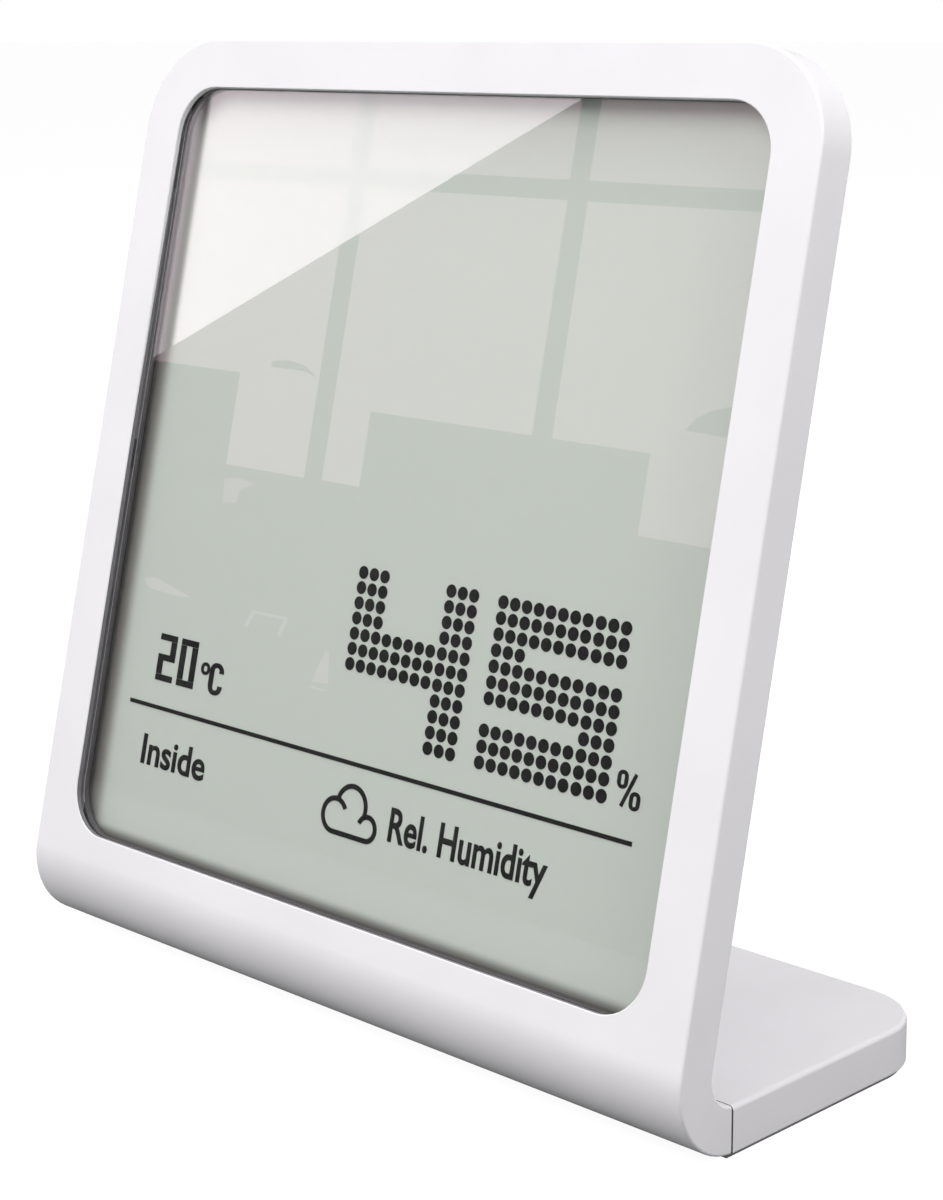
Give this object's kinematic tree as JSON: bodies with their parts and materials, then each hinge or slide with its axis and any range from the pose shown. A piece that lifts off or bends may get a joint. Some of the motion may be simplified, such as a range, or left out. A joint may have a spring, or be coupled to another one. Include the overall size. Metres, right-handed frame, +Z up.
{
  "type": "hygrometer",
  "caption": "Slim desk hygrometer: a white display panel leans back from a flat foot and shows relative humidity in large round-dot figures.",
  "frame": {"origin": "centre of the overall box at table height, under the foot's pads", "axes": "+Z up, +X to the right for a person who reads the display, the display faces -Y and leans back towards +Y, the foot reaches to +Y"},
  "size_m": [0.09, 0.038, 0.0949],
  "materials": {
    "housing_white": "satin moulded white plastic",
    "foot_white": "satin moulded white plastic",
    "base_white": "fine textured white plastic",
    "button_grey": "satin grey plastic",
    "window_clear": "clear acrylic sheet, polished",
    "tape_grey": "double-sided tape",
    "gasket_charcoal": "matt charcoal frame",
    "polariser_film": "thin polarising film",
    "cell_glass": "thin clear glass",
    "seal_grey": "cured epoxy seal",
    "segment_dark": "switched liquid crystal patches",
    "reflector_green": "satin grey-green reflector film",
    "foam_black": "closed-cell foam",
    "ribbon_amber": "polyimide film with fine conductors",
    "cell_steel": "nickel-plated pressed steel",
    "cell_seal": "moulded nylon seal",
    "contact_nickel": "nickel-plated spring strip",
    "lead_red": "wire insulation",
    "lead_black": "wire insulation",
    "board_green": "solder resist over laminate",
    "connector_cream": "moulded connector body",
    "chip_black": "moulded epoxy package",
    "crystal_metal": "seam-welded lid",
    "capacitor_tan": "ceramic body with tinned ends",
    "resistor_black": "glazed film with tinned ends",
    "sensor_black": "moulded package with an open port",
    "switch_black": "moulded switch body",
    "plunger_cream": "moulded plunger",
    "screw_steel": "zinc-plated steel",
    "pad_rubber": "matt silicone rubber"
  },
  "bodies": {
    "stand": {"front_housing": "housing_white", "back_cover": "housing_white", "window_lens": "window_clear", "lens_tape": "tape_grey", "display_gasket": "gasket_charcoal", "front_polariser": "polariser_film", "front_glass": "cell_glass", "display_edge_seal": "seal_grey", "large_dot_figures": "segment_dark", "small_figures": "segment_dark", "degree_sign": "segment_dark", "percent_sign": "segment_dark", "dividing_line": "segment_dark", "cloud_outline": "segment_dark", "rear_glass": "cell_glass", "rear_reflector": "reflector_green", "foam_pad": "foam_black", "display_ribbon": "ribbon_amber", "foot_shell": "foot_white", "foot_base": "base_white", "coin_cell_can": "cell_steel", "coin_cell_cap": "cell_steel", "coin_cell_gasket": "cell_seal", "positive_clip": "contact_nickel", "negative_leaf": "contact_nickel", "red_battery_lead": "lead_red", "black_battery_lead": "lead_black", "main_board": "board_green", "ribbon_connector": "connector_cream", "controller_chip": "chip_black", "clock_crystal": "crystal_metal", "chip_capacitors": "capacitor_tan", "chip_resistors": "resistor_black", "humidity_sensor": "sensor_black", "tact_switch": "switch_black", "foot_screws": "screw_steel", "foot_pads": "pad_rubber"},
    "battery_door": {"battery_door": "base_white"},
    "unit_button": {"unit_button": "button_grey", "switch_plunger": "plunger_cream"}
  },
  "joints": [
    {"name": "door_turn", "type": "hinge", "parent": "stand", "child": "battery_door", "pos_m": [-0.021, 0.0045, 0.0008], "axis": [0, 0, -1], "range_deg": [0, 45]},
    {"name": "button_press", "type": "slide", "parent": "stand", "child": "unit_button", "axis": [0, 0, 1], "range_m": [0, 0.00025], "stiffness_N_per_m": 4000}
  ]
}
